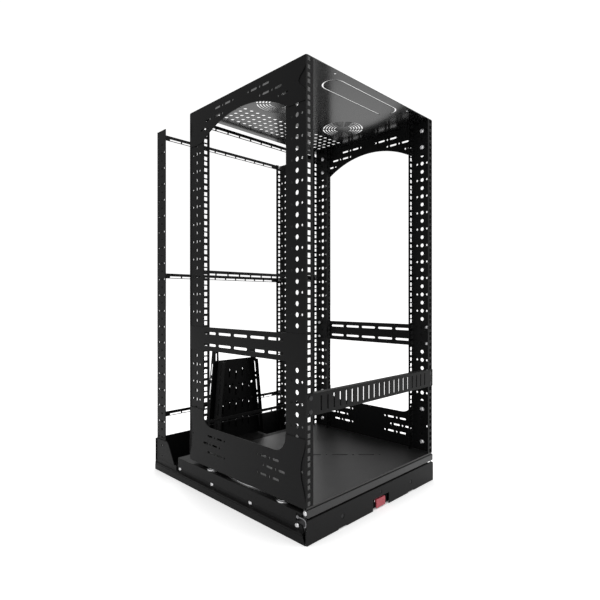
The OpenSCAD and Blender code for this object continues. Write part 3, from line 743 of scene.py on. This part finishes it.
class RACK_OT_bar_screws(RackOperator, Operator):
    """Cross-recessed screws and square nuts that hold the lacing bars"""
    bl_idname = "rack.bar_screws"
    bl_label = "Bar screws"

    def execute(self, context):
        head_height = 2.2 * MM
        nut_half_width = 4.6 * MM
        nut_half_height = 6.5 * MM
        nut_back, nut_front, filling_front = 5.1 * MM, 3.6 * MM, 1.6 * MM  # behind the head's seat
        nut = rounded_rectangle(
            (-nut_half_width, -nut_half_height), (nut_half_width, nut_half_height), 0.5 * MM)
        filling = rounded_rectangle(
            (-nut_half_width, -nut_half_width), (nut_half_width, nut_half_width), 0.4 * MM)
        for frame_name, body, ear_drop in (("rear", "base", 6.35 * MM), ("rack", "rack", 8 * MM)):
            node = frame_name + "_bar_screws"
            low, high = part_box(node)
            seat = high.y - head_height
            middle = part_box(frame_name + "_bar_middle")[1].z - ear_drop
            shapes = []
            for z in (high.z - nut_half_height, middle, low.z + nut_half_height):
                for x in (low.x + nut_half_width, high.x - nut_half_width):
                    shapes.append(screws_at(
                        [(x, seat, z)], (0, 1, 0), "cross",
                        radius=4.5 * MM, height=head_height, length=seat - low.y, shank_radius=2.5 * MM))
                    shapes.append(flat_plate(nut, x, z, seat - nut_back, seat - nut_front))
                    shapes.append(flat_plate(filling, x, z, seat - nut_front, seat - filling_front))
            piece(node + "_set", joined(shapes), body, "fastener_zinc", [node])
        return {"FINISHED"}


class RACK_OT_front_screws(RackOperator, Operator):
    """Low cross-recessed screws sunk in the front plate"""
    bl_idname = "rack.front_screws"
    bl_label = "Front screws"

    def execute(self, context):
        radius = 5 * MM
        middle_radius = 3.2 * MM
        middle_offset = 1.5 * MM
        head_height = 1.3 * MM
        plate_thickness = 1.5 * MM
        low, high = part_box("front_screws")
        latch_low, latch_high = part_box("latch_paddle")
        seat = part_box("front_plate")[0].y + plate_thickness
        length = high.y - seat
        outer = [(x, seat, low.z + radius) for x in (low.x + radius, high.x - radius)]
        middle = [((latch_low.x + latch_high.x) / 2 - middle_offset, seat, high.z - middle_radius)]
        forwards = (0, -1, 0)
        shape = joined([
            screws_at(
                outer, forwards, "cross",
                radius=radius, height=head_height, length=length, shank_radius=2.5 * MM),
            screws_at(
                middle, forwards, "cross",
                radius=middle_radius, height=head_height, length=length, shank_radius=2 * MM)])
        piece("front_screw_set", shape, "carriage", "black_oxide", ["front_screws"])
        return {"FINISHED"}


class RACK_OT_corner_bolts(RackOperator, Operator):
    """Button-head bolts at both front corners of the carriage"""
    bl_idname = "rack.corner_bolts"
    bl_label = "Corner bolts"

    def execute(self, context):
        head_height = 3 * MM
        low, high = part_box("corner_bolts")
        middle = (low + high) / 2
        heads = []
        for _, sign in SIDES:
            seat = outer_x(low, high, sign) - sign * head_height
            heads.append(screws_at(
                [(seat, middle.y, middle.z)], (sign, 0, 0), "hex",
                radius=(high.z - low.z) / 2, height=head_height, length=5 * MM, shank_radius=2.5 * MM))
        piece("corner_bolt_set", joined(heads), "carriage", "fastener_zinc", ["corner_bolts"])
        return {"FINISHED"}


class RACK_OT_latch(RackOperator, Operator):
    """Moulded red latch paddle with grip ribs across its face"""
    bl_idname = "rack.latch"
    bl_label = "Latch paddle"

    def execute(self, context):
        thickness = 3 * MM
        rib_depth = 0.22 * MM
        rib_start, rib_stretch = 0.16, 0.68  # shares of the paddle's height
        hub_radius = 3.5 * MM
        web_half = 3 * MM
        pitch = context.scene.rack_hardware.rib_pitch
        low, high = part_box("latch_paddle")
        pin_low, pin_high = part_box("latch_pin")
        pin = (pin_low + pin_high) / 2
        width = high.x - low.x
        back = low.y + 2 * MM
        rim = rounded_rectangle((low.y, low.z), (low.y + thickness, high.z), 1.1 * MM, 8)
        face_z = low.z + (high.z - low.z) * (rib_start + rib_stretch * np.linspace(0, 1, 60))
        face_y = low.y + rib_depth * (1 - np.cos(2 * np.pi * (face_z - face_z[0]) / pitch))
        face = np.stack([face_y, face_z], -1)
        rim = rim[rim[:, 0] >= low.y + 0.2 * MM]  # the ribbed face takes the place of the rest
        above = rim[:, 1] > pin.z - 8 * MM
        plate = pillow(np.vstack([rim[above], face[::-1], rim[~above]]), width, 16, 41)
        angle = np.linspace(0, 2 * np.pi, 28, endpoint=False)
        round_hub = np.stack([pin.y + hub_radius * np.cos(angle), pin.z + hub_radius * np.sin(angle)], -1)
        hub = pillow(round_hub, width - 0.4 * MM, 24, 21)
        web_outline = rounded_rectangle((back, pin.z - web_half), (pin.y, pin.z + web_half), 0.6 * MM)
        web = pillow(web_outline, width - 2 * MM)
        tongue_outline = rounded_rectangle((back, low.z + 2.6 * MM), (low.y + 7 * MM, pin.z - 2 * MM), 1 * MM)
        tongue = pillow(tongue_outline, 16 * MM)
        across = np.array([pin.x, 0, 0])
        shape = joined([(verts + across, faces) for verts, faces in (plate, hub, web, tongue)])
        piece("latch_paddle_moulding", shape, "latch", "red_nylon", ["latch_paddle"])
        return {"FINISHED"}


class RACK_OT_latch_spring(RackOperator, Operator):
    """Wound coil of the torsion spring beside the paddle"""
    bl_idname = "rack.latch_spring"
    bl_label = "Latch spring"

    def execute(self, context):
        turns = 3
        steps_per_turn = 32
        wire = context.scene.rack_hardware.wire
        low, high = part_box("latch_spring")
        centre = (low + high) / 2
        coil = (high.z - low.z) / 2 - wire / 2
        length = high.x - low.x - wire
        t = np.linspace(0, 1, steps_per_turn * turns)
        angle = 2 * np.pi * turns * t
        path = np.stack([
            centre.x + (t - 0.5) * length,
            centre.y + coil * np.cos(angle),
            centre.z + coil * np.sin(angle)], -1)
        shape = tube(path, wire / 2, np.array([1.0, 0.02, 0.01]), 8)
        piece("latch_torsion_spring", shape, "carriage", "fastener_zinc", ["latch_spring"])
        return {"FINISHED"}


class RACK_OT_turn_levers(RackOperator, Operator):
    """Bent levers at the front corners: a pivot eye, a bar forwards and a hook down"""
    bl_idname = "rack.turn_levers"
    bl_label = "Turn levers"

    def execute(self, context):
        eye_radius = 3.5 * MM
        bar_radius = 1.25 * MM
        for side, _ in SIDES:
            node = "turn_lever_" + side
            low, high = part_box(node)
            x = (low.x + high.x) / 2
            pivot_y = high.y - eye_radius
            pivot_z = high.z - eye_radius
            hook = np.array([
                (x, pivot_y - 3 * MM, pivot_z), (x, pivot_y - 9 * MM, pivot_z + 0.3 * MM),
                (x, pivot_y - 16 * MM, pivot_z + 0.2 * MM), (x, low.y + 3.2 * MM, pivot_z - 3 * MM),
                (x, low.y + 2 * MM, low.z + 7 * MM), (x, low.y + 3.2 * MM, low.z + 3 * MM),
                (x, low.y + 6.6 * MM, low.z + 1.6 * MM)])
            bar = tube(smooth_path(hook, 10), bar_radius, np.array([1.0, 0, 0]), 14, squash=0.75)
            eye_r = np.array([1.6, 3.2, 3.5, 3.5, 3.2, 1.6]) * MM
            eye_z = np.array([-1, -1, -0.7, 0.7, 1, 1]) * MM
            eye = placed(revolved(eye_r, eye_z, 32), (x, pivot_y, pivot_z), (1, 0, 0))
            piece("turn_lever_bent_" + side, joined([bar, eye]), node, "lever_zinc", [node])
        return {"FINISHED"}


class RACK_OT_glide_pads(RackOperator, Operator):
    """Stepped glide pads with softened rims on the carriage plate"""
    bl_idname = "rack.glide_pads"
    bl_label = "Glide pads"

    def execute(self, context):
        radius = 19 * MM
        low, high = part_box("glide_pads")
        r = np.array([2, 18.4, 19, 19, 18.6, 16.4, 16, 16, 15.6, 15.0, 14, 2]) * MM
        share = np.array([0, 0, 0.06, 0.6, 0.66, 0.68, 0.72, 0.9, 0.96, 1, 0.97, 0.97])
        pad = revolved(r, share * (high.z - low.z), 64)
        shape = joined([
            placed(pad, (x, y, low.z))
            for x in (low.x + radius, high.x - radius) for y in (low.y + radius, high.y - radius)])
        piece("glide_pad_set", shape, "carriage", "turned_steel", ["glide_pads"])
        return {"FINISHED"}


class RACK_OT_panel_screws(RackOperator, Operator):
    """Low cross-recessed screws at the ends of the vent panel"""
    bl_idname = "rack.panel_screws"
    bl_label = "Panel screws"

    def execute(self, context):
        radius = 5 * MM
        head_height = 0.5 * MM
        low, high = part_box("panel_screws")
        seat = low.y + head_height
        places = [
            (x, seat, z)
            for x in (low.x + radius, high.x - radius) for z in (low.z + radius, high.z - radius)]
        shape = screws_at(
            places, (0, -1, 0), "cross",
            radius=radius, height=head_height, length=high.y - seat, shank_radius=2.8 * MM)
        piece("panel_screw_set", shape, "rack", "black_oxide", ["panel_screws"])
        return {"FINISHED"}


class RACK_OT_stage(RackOperator, Operator):
    """Pale floor, white surround, soft lights and the camera"""
    bl_idname = "rack.stage"
    bl_label = "Stage"

    def execute(self, context):
        settings = context.scene.rack_stage
        reach = 30
        mesh = bpy.data.meshes.new("studio_floor")
        corners = [(-reach, -reach, 0), (reach, -reach, 0), (reach, reach, 0), (-reach, reach, 0)]
        mesh.from_pydata(corners, [], [(0, 1, 2, 3)])
        mesh.materials.append(studio_floor())
        floor = bpy.data.objects.new("studio_floor", mesh)
        context.scene.collection.objects.link(floor)
        context.scene.world = white_surround()
        context.scene.view_settings.view_transform = "Standard"
        for name, place, aim_height, size, power in SOFTBOXES:
            self.softbox(name, place, aim_height, size, power * settings.lamps)
        camera = bpy.data.objects.new("camera", bpy.data.cameras.new("camera"))
        camera.data.lens = settings.lens
        camera.data.sensor_width = 36
        camera.location = (CAMERA_X, CAMERA_Y, settings.eye_height)
        camera.rotation_euler = (math.radians(90), 0, math.radians(CAMERA_TURN))
        context.scene.collection.objects.link(camera)
        context.scene.camera = camera
        return {"FINISHED"}

    def softbox(self, name, place, aim_height, size, power):
        """A square soft light that looks at a point above the middle of the floor."""
        data = bpy.data.lights.new(name, "AREA")
        data.size = size
        data.energy = power
        lamp = bpy.data.objects.new(name, data)
        offset = np.array((0, 0, aim_height)) - np.array(place)
        flat = math.hypot(offset[0], offset[1])
        lamp.location = place
        lamp.rotation_euler = (math.atan2(flat, -offset[2]), 0, math.atan2(-offset[0], offset[1]))
        bpy.context.scene.collection.objects.link(lamp)


class RACK_PT_panel(Panel):
    """Lists the rack's settings and its builders"""
    bl_idname = "RACK_PT_panel"
    bl_label = "Turning Rack"
    bl_space_type = "VIEW_3D"
    bl_region_type = "UI"
    bl_category = "Turning Rack"

    def draw(self, context):
        for group in (context.scene.rack_coat, context.scene.rack_hardware, context.scene.rack_stage):
            column = self.layout.column(align=True)
            for key in group.__annotations__:
                column.prop(group, key)
        for builder in BUILDERS:
            self.layout.operator(builder.bl_idname)


BUILDERS = (
    RACK_OT_coats, RACK_OT_slide_screws, RACK_OT_rack_bolts, RACK_OT_upright_bolts, RACK_OT_bar_screws,
    RACK_OT_front_screws, RACK_OT_corner_bolts, RACK_OT_latch, RACK_OT_latch_spring, RACK_OT_turn_levers,
    RACK_OT_glide_pads, RACK_OT_panel_screws, RACK_OT_stage,
)
GROUPS = (
    ("rack_coat", CoatSettings), ("rack_hardware", HardwareSettings), ("rack_stage", StageSettings),
)


def register():
    for name, group in GROUPS:
        bpy.utils.register_class(group)
        setattr(bpy.types.Scene, name, PointerProperty(type=group))
    for builder in BUILDERS:
        bpy.utils.register_class(builder)
    bpy.utils.register_class(RACK_PT_panel)


def unregister():
    bpy.utils.unregister_class(RACK_PT_panel)
    for builder in reversed(BUILDERS):
        bpy.utils.unregister_class(builder)
    for name, group in reversed(GROUPS):
        delattr(bpy.types.Scene, name)
        bpy.utils.unregister_class(group)


def main():
    register()
    for builder in BUILDERS:
        area, name = builder.bl_idname.split(".")
        getattr(getattr(bpy.ops, area), name)()


if __name__ == "__main__":
    main()
